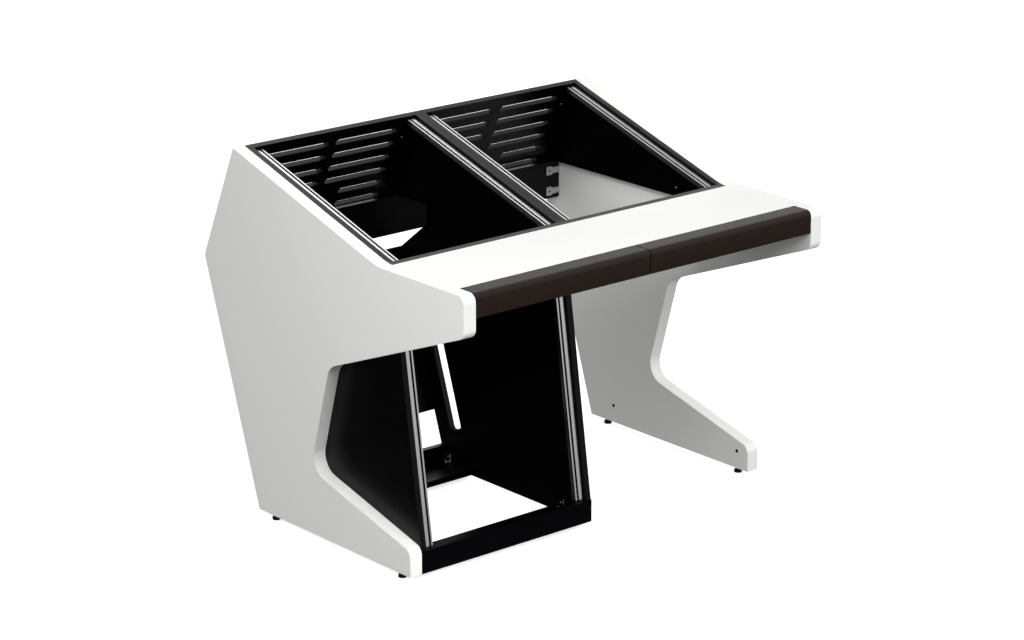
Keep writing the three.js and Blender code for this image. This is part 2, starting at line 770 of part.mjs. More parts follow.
const floorLevel = -foot.stand;
const padTop = floorLevel + foot.padHeight;
const padSeat = floorLevel + foot.padFloor;
const collarLow = padTop + seam;
const collarHigh = collarLow + foot.collarHeight;

function footPad() {
  const bore = foot.stemRadius + runningGap;
  return turned([
    [0, floorLevel],
    [foot.padRadius - foot.padChamfer, floorLevel],
    [foot.padRadius, floorLevel + foot.padChamfer],
    [foot.padRadius, padTop - foot.padChamfer],
    [foot.padRadius - foot.padChamfer, padTop],
    [bore, padTop],
    [bore, padSeat],
    [0, padSeat],
  ]);
}

function footStem() {
  const stem = toSolid(rod(foot.stemRadius, padSeat + seam, foot.stemTop));
  const collar = toSolid(rod(foot.collarAcross / Math.sqrt(3), collarLow, collarHigh, 6));
  return toGeometry(stem.add(collar));
}

function footSleeve() {
  const bore = foot.stemRadius + runningGap;
  return turned([
    [bore, 0],
    [foot.sleeveRadius, 0],
    [foot.sleeveRadius, foot.sleeveLength],
    [bore, foot.sleeveLength],
  ]);
}

hands.forEach(([word, hand]) => {
  Object.entries(footDepths).forEach(([end, depth]) => {
    const spot = [hand * footX, depth, 0];
    place(`foot_sleeve_${end}_${word}`, footSleeve(), zincSteel, spot);
    place(`foot_stem_${end}_${word}`, footStem(), zincSteel, spot);
    place(`foot_pad_${end}_${word}`, footPad(), blackPlastic, spot);
  });
});

// The finished desk stands on the floor, with its box centred over the origin

const depths = sideOutline.map((point) => point.x);
desk.position.set(0, -(Math.min(...depths) + Math.max(...depths)) / 2, foot.stand);

export default desk;
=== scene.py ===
import json
import math

import bmesh
import bpy
from mathutils import Matrix, Vector


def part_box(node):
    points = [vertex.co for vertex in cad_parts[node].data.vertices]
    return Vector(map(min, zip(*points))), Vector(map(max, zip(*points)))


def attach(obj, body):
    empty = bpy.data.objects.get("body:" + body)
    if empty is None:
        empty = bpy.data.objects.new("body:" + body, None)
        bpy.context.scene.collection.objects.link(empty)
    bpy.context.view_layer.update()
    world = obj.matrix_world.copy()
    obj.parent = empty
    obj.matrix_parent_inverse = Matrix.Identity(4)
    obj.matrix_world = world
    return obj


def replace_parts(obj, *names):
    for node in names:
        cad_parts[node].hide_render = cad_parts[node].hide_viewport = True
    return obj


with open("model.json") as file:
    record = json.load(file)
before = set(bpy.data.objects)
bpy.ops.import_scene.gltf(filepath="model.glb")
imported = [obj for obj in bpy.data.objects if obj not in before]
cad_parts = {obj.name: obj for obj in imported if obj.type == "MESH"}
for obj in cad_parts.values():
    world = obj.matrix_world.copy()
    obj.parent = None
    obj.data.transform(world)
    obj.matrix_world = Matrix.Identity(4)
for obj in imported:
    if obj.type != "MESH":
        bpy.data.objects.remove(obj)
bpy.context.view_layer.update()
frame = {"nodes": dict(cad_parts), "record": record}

nodes = frame["nodes"]
mm = 0.001
print("frame loaded,", len(nodes), "nodes")


# Small helpers

def addNode(tree, kind, values=None, **settings):
    node = tree.nodes.new(kind)
    for key, value in settings.items():
        setattr(node, key, value)
    for key, value in (values or {}).items():
        if isinstance(value, bpy.types.NodeSocket):
            tree.links.new(value, node.inputs[key])
        else:
            node.inputs[key].default_value = value
    return node


def newGroup(name, given, made):
    group = bpy.data.node_groups.new(name, "ShaderNodeTree")
    for label, kind, value in given:
        socket = group.interface.new_socket(name=label, in_out="INPUT", socket_type=kind)
        if value is not None:
            socket.default_value = value
    for label, kind in made:
        group.interface.new_socket(name=label, in_out="OUTPUT", socket_type=kind)
    return group, group.nodes.new("NodeGroupInput"), group.nodes.new("NodeGroupOutput")


def useGroup(tree, group, values):
    return addNode(tree, "ShaderNodeGroup", values, node_tree=group)


def maths(tree, operation, first, second=0.0):
    return addNode(tree, "ShaderNodeMath", {0: first, 1: second}, operation=operation).outputs[0]


def softStep(tree, value, fromTo):  # from 0 to 1 between two values
    low, high = fromTo
    return addNode(tree, "ShaderNodeMapRange", {"Value": value, "From Min": low, "From Max": high},
                   interpolation_type="SMOOTHSTEP").outputs["Result"]


def meshFrom(bm, name, outward=True):
    if outward:
        bmesh.ops.recalc_face_normals(bm, faces=bm.faces)
    mesh = bpy.data.meshes.new(name)
    bm.to_mesh(mesh)
    bm.free()
    return mesh


def addObject(name, mesh, material=None):
    obj = bpy.data.objects.new(name, mesh)
    bpy.context.scene.collection.objects.link(obj)
    if material:
        mesh.materials.append(material)
    return obj


# Shared surface effects

def makePebbleGroup():  # fine moulded or pressed grain, as a height
    group, given, made = newGroup(
        "pebbleGrain",
        [("Vector", "NodeSocketVector", None), ("Size", "NodeSocketFloat", 1 * mm),
         ("Softness", "NodeSocketFloat", 0.5)],
        [("Height", "NodeSocketFloat")])
    density = maths(group, "DIVIDE", 1.0, given.outputs["Size"])
    cells = addNode(group, "ShaderNodeTexVoronoi", {
        "Vector": given.outputs["Vector"], "Scale": density, "Randomness": 1.0,
        "Smoothness": given.outputs["Softness"]}, feature="SMOOTH_F1")
    fine = addNode(group, "ShaderNodeTexNoise", {
        "Vector": given.outputs["Vector"], "Scale": maths(group, "MULTIPLY", density, 1.7), "Detail": 3.0})
    total = maths(group, "ADD", maths(group, "MULTIPLY", cells.outputs["Distance"], 0.6),
                  maths(group, "MULTIPLY", fine.outputs["Fac"], 0.4))  # mostly pebbles, partly fine grain
    group.links.new(total, made.inputs["Height"])
    return group


def makeDriftGroup():  # slow change of tone over a surface, around 1
    group, given, made = newGroup(
        "toneDrift",
        [("Vector", "NodeSocketVector", None), ("Size", "NodeSocketFloat", 0.3),
         ("Amount", "NodeSocketFloat", 0.03)],
        [("Factor", "NodeSocketFloat")])
    noise = addNode(group, "ShaderNodeTexNoise", {
        "Vector": given.outputs["Vector"], "Scale": maths(group, "DIVIDE", 1.0, given.outputs["Size"]),
        "Detail": 4.0, "Roughness": 0.55})
    centred = maths(group, "SUBTRACT", noise.outputs["Fac"], 0.5)
    swing = maths(group, "MULTIPLY", centred, maths(group, "MULTIPLY", given.outputs["Amount"], 4.0))
    group.links.new(maths(group, "ADD", swing, 1.0), made.inputs["Factor"])
    return group


def makeEdgeWearAndSheenGroup():  # mask of the edges for a lighter edge colour: wear where hands and cloths polish a finish, and a painted sheen
    group, given, made = newGroup(
        "edgeWearAndSheen",
        [("Radius", "NodeSocketFloat", 1 * mm), ("Vector", "NodeSocketVector", None),
         ("Gain", "NodeSocketFloat", 6.0), ("Patches", "NodeSocketFloat", 35.0)],
        [("Mask", "NodeSocketFloat")])
    bent = addNode(group, "ShaderNodeBevel", {"Radius": given.outputs["Radius"]}, samples=6)
    geometry = group.nodes.new("ShaderNodeNewGeometry")
    facing = addNode(group, "ShaderNodeVectorMath", operation="DOT_PRODUCT")
    group.links.new(bent.outputs["Normal"], facing.inputs[0])
    group.links.new(geometry.outputs["Normal"], facing.inputs[1])
    turned = maths(group, "SUBTRACT", 1.0, facing.outputs["Value"])
    patches = addNode(group, "ShaderNodeTexNoise", {
        "Vector": given.outputs["Vector"], "Scale": given.outputs["Patches"], "Detail": 5.0})
    strong = maths(group, "MULTIPLY", turned, given.outputs["Gain"])
    broken = maths(group, "MULTIPLY", strong, patches.outputs["Fac"])
    limited = addNode(group, "ShaderNodeClamp", {"Value": broken})
    group.links.new(limited.outputs["Result"], made.inputs["Mask"])
    return group


def makeBrushGroup():  # fine lines along a direction that leans back by Tilt
    group, given, made = newGroup(
        "drawLines",
        [("Vector", "NodeSocketVector", None), ("Tilt", "NodeSocketFloat", 0.0),
         ("Width", "NodeSocketFloat", 0.2 * mm)],
        [("Height", "NodeSocketFloat"), ("Streak", "NodeSocketFloat")])
    turned = addNode(group, "ShaderNodeVectorRotate", {
        "Vector": given.outputs["Vector"], "Axis": (1.0, 0.0, 0.0), "Angle": given.outputs["Tilt"]},
        rotation_type="AXIS_ANGLE")
    density = maths(group, "DIVIDE", 1.0, given.outputs["Width"])
    stretch = addNode(group, "ShaderNodeMapping", {  # drawn out along the lines
        "Vector": turned.outputs["Vector"], "Scale": (1.0, 0.006, 1.0)}).outputs["Vector"]
    lines = addNode(group, "ShaderNodeTexNoise", {"Vector": stretch, "Scale": density, "Detail": 2.0})
    broad = addNode(group, "ShaderNodeTexNoise", {
        "Vector": stretch, "Scale": maths(group, "MULTIPLY", density, 0.12), "Detail": 3.0})
    group.links.new(lines.outputs["Fac"], made.inputs["Height"])
    group.links.new(broad.outputs["Fac"], made.inputs["Streak"])
    return group


def makeSmudgeGroup():  # faint wiped patches, as a change of roughness
    group, given, made = newGroup(
        "wipeMarks",
        [("Vector", "NodeSocketVector", None), ("Size", "NodeSocketFloat", 0.08),
         ("Amount", "NodeSocketFloat", 0.05)],
        [("Change", "NodeSocketFloat")])
    warp = addNode(group, "ShaderNodeTexNoise", {
        "Vector": given.outputs["Vector"], "Scale": maths(group, "DIVIDE", 1.0, given.outputs["Size"]),
        "Detail": 6.0, "Roughness": 0.65, "Distortion": 1.2})
    wiped = softStep(group, warp.outputs["Fac"], (0.48, 0.72))
    change = maths(group, "MULTIPLY", wiped, given.outputs["Amount"])
    group.links.new(change, made.inputs["Change"])
    return group


def makePaintedShadeGroup():  # painted shade: how open a place is, so that the colour darkens in slots and inner corners
    group, given, made = newGroup(
        "paintedSlotShade",
        [("Reach", "NodeSocketFloat", 5 * mm), ("Power", "NodeSocketFloat", 1.0)],
        [("PaintedShadeFactor", "NodeSocketFloat")])
    around = addNode(group, "ShaderNodeAmbientOcclusion", {"Distance": given.outputs["Reach"]}, samples=8)
    group.links.new(maths(group, "POWER", around.outputs["AO"], given.outputs["Power"]), made.inputs["PaintedShadeFactor"])
    return group


pebbleGrain = makePebbleGroup()
toneDrift = makeDriftGroup()
edgeWearAndSheen = makeEdgeWearAndSheenGroup()
drawLines = makeBrushGroup()
wipeMarks = makeSmudgeGroup()
paintedSlotShade = makePaintedShadeGroup()
print("surface effects ready")


# Materials

def startMaterial(name, settings):
    material = bpy.data.materials.new(name)
    material.use_nodes = True
    tree = material.node_tree
    tree.nodes.clear()
    surface = tree.nodes.new("ShaderNodeBsdfPrincipled")
    surface.inputs["IOR"].default_value = 1.5
    surface.inputs["Metallic"].default_value = settings.get("metallic", 0.0)
    surface.inputs["Specular IOR Level"].default_value = settings.get("specular", 0.5)
    out = tree.nodes.new("ShaderNodeOutputMaterial")
    tree.links.new(surface.outputs["BSDF"], out.inputs["Surface"])
    place = tree.nodes.new("ShaderNodeTexCoord").outputs["Object"]
    return material, tree, surface, place


# the edge colour mixed in by the mask is lighter: edge wear and painted sheen
def tintedColor(tree, color, factor, edgeWearSheenColor=None, edgeWearSheenMask=None):
    base = addNode(tree, "ShaderNodeMix", {"Factor": 1.0}, data_type="RGBA", blend_type="MULTIPLY")
    base.inputs[6].default_value = (*color, 1.0)
    tree.links.new(factor, base.inputs[7])
    if edgeWearSheenColor is None:
        return base.outputs[2]
    edge = addNode(tree, "ShaderNodeMix", {"Factor": edgeWearSheenMask}, data_type="RGBA")
    tree.links.new(base.outputs[2], edge.inputs[6])
    edge.inputs[7].default_value = (*edgeWearSheenColor, 1.0)
    return edge.outputs[2]


def roughBy(tree, settings, place, extra=None):
    smudge = useGroup(tree, wipeMarks, {
        "Vector": place, "Size": settings["smudgeSize"], "Amount": settings["smudge"]})
    total = maths(tree, "ADD", smudge.outputs["Change"], settings["roughness"])
    return maths(tree, "ADD", total, extra) if extra is not None else total


def driftBy(tree, settings, place):
    return useGroup(tree, toneDrift, {
        "Vector": place, "Size": settings["driftSize"], "Amount": settings["drift"]}).outputs["Factor"]


# painted shade: a factor that darkens colour in slots, inner corners and seams
def paintedShadeBy(tree, settings):
    return useGroup(tree, paintedSlotShade, {
        "Reach": settings["paintedShadeReach"], "Power": settings["paintedShadePower"]}).outputs["PaintedShadeFactor"]


def bumpBy(tree, surface, height, depth):
    bump = addNode(tree, "ShaderNodeBump", {"Height": height, "Distance": depth, "Strength": 1.0})
    tree.links.new(bump.outputs["Normal"], surface.inputs["Normal"])


def boardMaterial(name, settings):
    material, tree, surface, place = startMaterial(name, settings)
    drift = driftBy(tree, settings, place)
    # lighter edge colour: edge wear and painted sheen
    edge = useGroup(tree, edgeWearAndSheen, {"Radius": settings["edgeRadius"], "Vector": place})
    color = tintedColor(tree, settings["color"], drift, settings["edgeWearSheenColor"],
                        maths(tree, "MULTIPLY", edge.outputs["Mask"], settings["edgeWearSheenShare"]))
    tree.links.new(color, surface.inputs["Base Color"])
    tree.links.new(roughBy(tree, settings, place), surface.inputs["Roughness"])
    grain = useGroup(tree, pebbleGrain, {"Vector": place, "Size": settings["grainSize"], "Softness": 0.6})
    bumpBy(tree, surface, grain.outputs["Height"], settings["grainDepth"])
    return material


whiteBoard = boardMaterial("whiteBoard", {
    "color": (0.83, 0.832, 0.793),
    "edgeWearSheenColor": (0.86, 0.86, 0.825),
    "edgeWearSheenShare": 0.35,
    "edgeRadius": 1.2 * mm,
    "drift": 0.006,
    "driftSize": 0.35,
    "roughness": 0.42,
    "specular": 0.3,
    "smudge": 0.05,
    "smudgeSize": 0.12,
    "grainSize": 0.7 * mm,
    "grainDepth": 0.012 * mm,
})
blackBoard = boardMaterial("blackBoard", {
    "color": (0.0007, 0.0007, 0.0012),
    "edgeWearSheenColor": (0.006, 0.006, 0.007),
    "edgeWearSheenShare": 0.6,
    "edgeRadius": 0.7 * mm,
    "drift": 0.06,
    "driftSize": 0.2,
    "roughness": 0.32,
    "specular": 0.16,
    "smudge": 0.04,
    "smudgeSize": 0.12,
    "grainSize": 0.55 * mm,
    "grainDepth": 0.015 * mm,
})


def metalMaterial(name, settings):
    material, tree, surface, place = startMaterial(name, settings)
    lines = useGroup(tree, drawLines, {
        "Vector": place, "Tilt": settings["tilt"], "Width": settings["lineWidth"]})
    drift = driftBy(tree, settings, place)
    streaks = maths(tree, "ADD", maths(tree, "MULTIPLY", lines.outputs["Streak"], settings["streak"]),
                    1.0 - settings["streak"] / 2)
    # painted shade: the colour and the lighter edges darken in the slots
    recess = paintedShadeBy(tree, settings)
    shade = maths(tree, "MULTIPLY", maths(tree, "MULTIPLY", drift, streaks), recess)
    # lighter edge colour: edge wear and painted sheen
    edge = useGroup(tree, edgeWearAndSheen, {"Radius": settings["edgeRadius"], "Vector": place})
    edgeWearSheenOutOfShade = maths(tree, "MULTIPLY", edge.outputs["Mask"], recess)
    color = tintedColor(tree, settings["color"], shade, settings["edgeWearSheenColor"], edgeWearSheenOutOfShade)
    tree.links.new(color, surface.inputs["Base Color"])
    fleck = maths(tree, "MULTIPLY", lines.outputs["Height"], settings["lineRoughness"])
    tree.links.new(roughBy(tree, settings, place, fleck), surface.inputs["Roughness"])
    bumpBy(tree, surface, lines.outputs["Height"], settings["lineDepth"])
    return material


faceAxes = {mount["name"]: mount["axis"] for mount in frame["record"]["mounts"]}


def railTilt(face):  # how far a rail's length leans from level, towards the rear
    _, depth, height = faceAxes[face]
    return math.atan2(-depth, height)


slopeTilt = railTilt("upper_left_outer_rail_face")
leanTilt = railTilt("lower_left_rail_face")
railMetal = {
    "metallic": 1.0,
    "color": (0.60, 0.605, 0.61),
    "edgeWearSheenColor": (0.72, 0.72, 0.72),
    "edgeRadius": 0.3 * mm,
    "drift": 0.02,
    "driftSize": 0.12,
    "streak": 0.05,
    "lineWidth": 0.22 * mm,
    "lineDepth": 0.0004 * mm,
    "lineRoughness": 0.03,
    "roughness": 0.30,
    "smudge": 0.03,
    "smudgeSize": 0.05,
    # reach and strength of the painted shade in the rails' slots
    "paintedShadeReach": 8 * mm,
    "paintedShadePower": 3.5,
}
upperRailMetal = metalMaterial("upperRailMetal", {**railMetal, "tilt": -slopeTilt})
# same metal as the upper rails with a lighter colour: a painted highlight on the lower rails
lowerRailMetalPaintedBright = metalMaterial("lowerRailMetalPaintedBright", {
    **railMetal,
    "tilt": -leanTilt,
    "color": (0.70, 0.705, 0.71),
    "edgeWearSheenColor": (0.78, 0.78, 0.78),
    "roughness": 0.22,
})
stripMetalPaintedShade = {
    "metallic": 0.8,
    # near-black: dark steel, made darker still as painted shade in the rails' slots
    "color": (0.012, 0.012, 0.013),
    "edgeWearSheenColor": (0.06, 0.06, 0.06),
    "edgeRadius": 0.25 * mm,
    "drift": 0.10,
    "driftSize": 0.03,
    "streak": 0.25,
    "lineWidth": 0.3 * mm,
    "lineDepth": 0.006 * mm,
    "lineRoughness": 0.12,
    "roughness": 0.40,
    "smudge": 0.10,
    "smudgeSize": 0.03,
    # reach and strength of the painted shade in the rails' slots
    "paintedShadeReach": 5 * mm,
    "paintedShadePower": 1.0,
}
upperStripMetalPaintedShade = metalMaterial("upperStripMetalPaintedShade", {**stripMetalPaintedShade, "tilt": -slopeTilt})
lowerStripMetalPaintedShade = metalMaterial("lowerStripMetalPaintedShade", {**stripMetalPaintedShade, "tilt": -leanTilt})


def zincMaterial(name, settings):  # plated steel with its small crystals
    material, tree, surface, place = startMaterial(name, settings)
    crystals = addNode(tree, "ShaderNodeTexVoronoi", {
        "Vector": place, "Scale": 1.0 / settings["crystalSize"]})
    parts = addNode(tree, "ShaderNodeSeparateColor", {"Color": crystals.outputs["Color"]})
    shade = maths(tree, "ADD", maths(tree, "MULTIPLY", parts.outputs["Red"], settings["crystalTone"]),
                  1.0 - settings["crystalTone"] / 2)
    # lighter edge colour: edge wear and painted sheen
    edge = useGroup(tree, edgeWearAndSheen, {"Radius": settings["edgeRadius"], "Vector": place})
    color = tintedColor(tree, settings["color"], shade, settings["edgeWearSheenColor"], edge.outputs["Mask"])
    if "paintedEndHighlightColor" in settings:  # painted highlight: the end faces along Y, where the piece was cut to length, get a light grey non-metal colour
        outward = tree.nodes["Texture Coordinate"].outputs["Normal"]
        sides = addNode(tree, "ShaderNodeSeparateXYZ", {"Vector": outward})
        alongY = maths(tree, "ABSOLUTE", sides.outputs["Y"])
        endFace = maths(tree, "GREATER_THAN", alongY, settings["paintedEndHighlightFacing"])
        cut = addNode(tree, "ShaderNodeMix", {"Factor": endFace}, data_type="RGBA")
        tree.links.new(color, cut.inputs[6])
        cut.inputs[7].default_value = (*settings["paintedEndHighlightColor"], 1.0)
        color = cut.outputs[2]
        tree.links.new(maths(tree, "SUBTRACT", settings["metallic"], endFace), surface.inputs["Metallic"])
    tree.links.new(color, surface.inputs["Base Color"])
    change = maths(tree, "MULTIPLY", parts.outputs["Green"], settings["crystalRoughness"])
    tree.links.new(roughBy(tree, settings, place, change), surface.inputs["Roughness"])
    grain = useGroup(tree, pebbleGrain, {"Vector": place, "Size": settings["crystalSize"], "Softness": 0.4})
    bumpBy(tree, surface, grain.outputs["Height"], settings["grainDepth"])
    return material


zincFinish = {
    "metallic": 1.0,
    "color": (0.62, 0.63, 0.61),
    "edgeWearSheenColor": (0.80, 0.80, 0.78),
    "edgeRadius": 0.3 * mm,
    "crystalSize": 0.8 * mm,
    "crystalTone": 0.14,
    "crystalRoughness": 0.12,
    "grainDepth": 0.008 * mm,
    "roughness": 0.30,
    "smudge": 0.10,
    "smudgeSize": 0.012,
}
zincSteel = zincMaterial("zincSteel", zincFinish)
blackFinish = {
    **zincFinish,
    "color": (0.004, 0.004, 0.005),
    "edgeWearSheenColor": (0.030, 0.030, 0.032),
    "roughness": 0.38,
}
blackSteel = zincMaterial("blackSteel", blackFinish)
bracketSteel = zincMaterial("bracketSteel", {  # near-black colour, with a painted highlight on the cut ends
    **blackFinish,
    "paintedEndHighlightColor": (0.62, 0.63, 0.61),
    "paintedEndHighlightFacing": 0.8,         # share of the outward direction along Y that gets the painted highlight of a cut end
})


def skinMaterial(name, settings):  # moulded foam skin with a leather grain
    material, tree, surface, place = startMaterial(name, settings)
    drift = driftBy(tree, settings, place)
    cells = addNode(tree, "ShaderNodeTexVoronoi", {
        "Vector": place, "Scale": 1.0 / settings["cellSize"], "Randomness": 0.9}, feature="DISTANCE_TO_EDGE")
    lifted = softStep(tree, cells.outputs["Distance"], (0.0, settings["creaseWidth"]))
    darker = maths(tree, "ADD", maths(tree, "MULTIPLY", lifted, settings["creaseTone"]),
                   1.0 - settings["creaseTone"])
    # colour darkened in the seam between the bars: painted shade
    shade = maths(tree, "MULTIPLY", maths(tree, "MULTIPLY", drift, darker), paintedShadeBy(tree, settings))
    tree.links.new(tintedColor(tree, settings["color"], shade), surface.inputs["Base Color"])
    valley = maths(tree, "MULTIPLY", maths(tree, "SUBTRACT", 1.0, lifted), settings["creaseRoughness"])
    tree.links.new(roughBy(tree, settings, place, valley), surface.inputs["Roughness"])
    pebble = useGroup(tree, pebbleGrain, {"Vector": place, "Size": settings["poreSize"], "Softness": 0.5})
    pores = maths(tree, "MULTIPLY", pebble.outputs["Height"], settings["poreShare"])
    relief = maths(tree, "ADD", lifted, pores)
    bumpBy(tree, surface, relief, settings["grainDepth"])
    return material


armrestSkin = skinMaterial("armrestSkin", {
    "color": (0.0195, 0.0130, 0.0103),
    "paintedShadeReach": 4 * mm,      # painted shade in the seam between the two bars
    "paintedShadePower": 2.0,
    "drift": 0.05,
    "driftSize": 0.15,
    "cellSize": 1.3 * mm,
    "creaseWidth": 0.22,      # share of a cell
    "creaseTone": 0.30,
    "creaseRoughness": 0.08,
    "poreSize": 0.4 * mm,
    "poreShare": 0.5,
    "grainDepth": 0.018 * mm,
    "roughness": 0.30,
    "specular": 0.10,
    "smudge": 0.05,
    "smudgeSize": 0.06,
})
footPlastic = boardMaterial("footPlastic", {
    "color": (0.004, 0.004, 0.005),
    "edgeWearSheenColor": (0.016, 0.016, 0.017),
    "edgeWearSheenShare": 0.5,
    "edgeRadius": 0.5 * mm,
    "drift": 0.05,
    "driftSize": 0.02,
    "roughness": 0.48,
    "specular": 0.25,
    "smudge": 0.08,
    "smudgeSize": 0.01,
    "grainSize": 0.35 * mm,
    "grainDepth": 0.012 * mm,
})
print("materials ready")


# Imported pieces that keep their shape: welded, with small rounded edges and even shading

shading = {
    "sharpAngle": 38,         # degrees past which an edge stays sharp
    "roundAngle": 40,         # degrees past which an edge gets a small round
    "weldReach": 0.005 * mm,
}


def makeShadingGroup():  # smooth faces, with sharp edges past an angle
    group = bpy.data.node_groups.new("shadeByAngle", "GeometryNodeTree")
    group.interface.new_socket(name="Geometry", in_out="INPUT", socket_type="NodeSocketGeometry")
    group.interface.new_socket(name="Geometry", in_out="OUTPUT", socket_type="NodeSocketGeometry")
    given = group.nodes.new("NodeGroupInput")
    made = group.nodes.new("NodeGroupOutput")
    bare = addNode(group, "GeometryNodeRemoveAttribute", {
        "Geometry": given.outputs[0], "Name": "custom_normal"})
    smooth = addNode(group, "GeometryNodeSetShadeSmooth", {
        "Geometry": bare.outputs[0], "Shade Smooth": True}, domain="FACE")
    angle = group.nodes.new("GeometryNodeInputMeshEdgeAngle").outputs["Unsigned Angle"]
    compare = addNode(group, "FunctionNodeCompare", {
        "A": angle, "B": math.radians(shading["sharpAngle"])}, data_type="FLOAT", operation="GREATER_THAN")
    sharp = addNode(group, "GeometryNodeSetShadeSmooth", {
        "Geometry": smooth.outputs[0], "Selection": compare.outputs["Result"],
        "Shade Smooth": False}, domain="EDGE")
    group.links.new(sharp.outputs[0], made.inputs[0])
    return group


shadeByAngle = makeShadingGroup()


def evenShading(obj):
    obj.modifiers.new("shading", "NODES").node_group = shadeByAngle
    normals = obj.modifiers.new("normals", "WEIGHTED_NORMAL")
    normals.keep_sharp = True
    normals.weight = 100


def dressNode(name, material, edge):
    obj = nodes[name]
    for slot in obj.material_slots:
        slot.material = material
    weld = obj.modifiers.new("weld", "WELD")
    weld.merge_threshold = shading["weldReach"]
    if edge:
        bevel = obj.modifiers.new("edges", "BEVEL")
        bevel.width = edge
        bevel.segments = 2
        bevel.limit_method = "ANGLE"
        bevel.angle_limit = math.radians(shading["roundAngle"])
        bevel.use_clamp_overlap = True
    evenShading(obj)


edgeRounds = {
    "white": 0.0,             # the side panels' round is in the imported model
    "deck": 0.8 * mm,
    "black": 0.5 * mm,
    "vent": 0.15 * mm,
    "rail": 0.3 * mm,
    "strip": 0.15 * mm,
    "steel": 0.25 * mm,
}
for name in nodes:
    if name.startswith("side_panel"):
        dressNode(name, whiteBoard, edgeRounds["white"])
    elif name == "deck_board":
        dressNode(name, whiteBoard, edgeRounds["deck"])
    elif name.endswith("_rail") and "deck" not in name:
        dressNode(name, lowerRailMetalPaintedBright if name.startswith("lower") else upperRailMetal, edgeRounds["rail"])
    elif name.endswith("_threaded_strip"):
        dressNode(name, lowerStripMetalPaintedShade if name.startswith("lower") else upperStripMetalPaintedShade, edgeRounds["strip"])
    elif "bracket" in name:
        dressNode(name, bracketSteel, edgeRounds["steel"])
    elif name.startswith(("stretcher_plate", "foot_sleeve", "armrest_bolt")):
        dressNode(name, zincSteel, edgeRounds["steel"])
    elif name == "rear_vent_panel":
        dressNode(name, blackBoard, edgeRounds["vent"])
    elif not name.startswith(("armrest", "foot_pad", "foot_stem", "vent_panel_screw")):
        dressNode(name, blackBoard, edgeRounds["black"])
print("packed pieces dressed")


# Armrest: two padded bars with a moulded skin

armrest = {
    "noseRadius": 14 * mm,    # front upper edge
    "rearRadius": 1.2 * mm,   # upper edge against the deck
    "lowerRadius": 3.0 * mm,  # front lower edge
    "heelRadius": 1.2 * mm,
    "crown": 0.4 * mm,        # how far the padding swells between its edges
    "outerRadius": 2.5 * mm,  # round at the end beside the side panel
    "seamRadius": 2.4 * mm,   # round at the end in the middle
    "endSteps": 5,
    "arcSteps": 10,
    "flatStep": 6 * mm,
    "lengthStep": 12 * mm,
    "ripple": 0.08 * mm,      # uneven padding
    "waves": ((41.0, 160.0), (17.0, 90.0)),  # of the ripple, along the bar and around it
    "endReach": 30 * mm,      # how far from its ends a bar reaches its full swell
    "fill": 0.95,
}


def armrestProfile(low, high):  # (point, direction of the swell, share of the swell) in Y and Z
    steps = armrest["arcSteps"]
    corners = [
        (low.y, low.z, armrest["lowerRadius"]),
        (high.y, low.z, armrest["heelRadius"]),
        (high.y, high.z, armrest["rearRadius"]),
        (low.y, high.z, armrest["noseRadius"]),
    ]
    arcs = []
    for index, (y, z, radius) in enumerate(corners):
        inward = Vector((1 if y == low.y else -1, 1 if z == low.z else -1))
        centre = Vector((y, z)) + inward * radius
        start = math.radians(180 + 90 * index)
        turns = [start + math.radians(90) * part / steps for part in range(steps + 1)]
        arcs.append([centre + radius * Vector((math.cos(turn), math.sin(turn))) for turn in turns])
    points = []
    for index, arc in enumerate(arcs):
        points.extend((point, Vector((0, 0)), 0.0) for point in arc)
        following = arcs[(index + 1) % 4][0]
        run = following - arc[-1]
        out = Vector((run.y, -run.x)).normalized()
        count = max(1, round(run.length / armrest["flatStep"]))
        rests = index == 1   # the rear face lies flat on its rail
        for part in range(1, count):
            share = part / count
            points.append((arc[-1] + run * share, out, 0.0 if rests else 4 * share * (1 - share)))
    return points


def armrestBar(node):
    low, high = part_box(node)
    profile = armrestProfile(low, high)
    middle = Vector(((low.y + high.y) / 2, (low.z + high.z) / 2))
    turns = [math.radians(90) * step / armrest["endSteps"] for step in range(armrest["endSteps"] + 1)]
    seam, outer = armrest["seamRadius"], armrest["outerRadius"]
    first, last = (seam, outer) if low.x + high.x > 0 else (outer, seam)
    length = high.x - low.x - first - last
    count = round(length / armrest["lengthStep"])
    rounds = [(1 - math.sin(turn), 1 - math.cos(turn)) for turn in turns]  # along the bar, and inwards
    stations = [(low.x + first * run, first * inset) for run, inset in reversed(rounds)]
    stations += [(low.x + first + length * part / count, 0.0) for part in range(1, count)]
    stations += [(high.x - last * run, last * inset) for run, inset in rounds]
    bm = bmesh.new()
    rings = []
    (along, aroundY), (slower, aroundZ) = armrest["waves"]
    for x, inset in stations:
        ring = []
        reach = min(1.0, min(x - low.x, high.x - x) / armrest["endReach"])
        for point, out, swell in profile:
            toMiddle = middle - point
            shrink = Vector([math.copysign(min(abs(part), inset), part) for part in toMiddle])
            wave = math.sin(x * along + point.x * aroundY) * math.sin(x * slower + point.y * aroundZ)
            lift = armrest["crown"] + armrest["ripple"] * wave
            place = point + shrink + out * swell * reach * lift
            ring.append(bm.verts.new((x, place.x, place.y)))
        rings.append(ring)
    size = len(profile)
    for ring, following in zip(rings, rings[1:]):
        for index in range(size):
            after = (index + 1) % size
            bm.faces.new((ring[index], following[index], following[after], ring[after]))
    bm.faces.new(rings[0])
    bm.faces.new(list(reversed(rings[-1])))
    bar = addObject(node + "_skin", meshFrom(bm, node + "_skin"), armrestSkin)
    evenShading(bar)
    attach(bar, "desk")
    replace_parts(bar, node)


for node in ("armrest_left", "armrest_right"):
    armrestBar(node)
print("armrest ready")


# Turned and threaded small parts

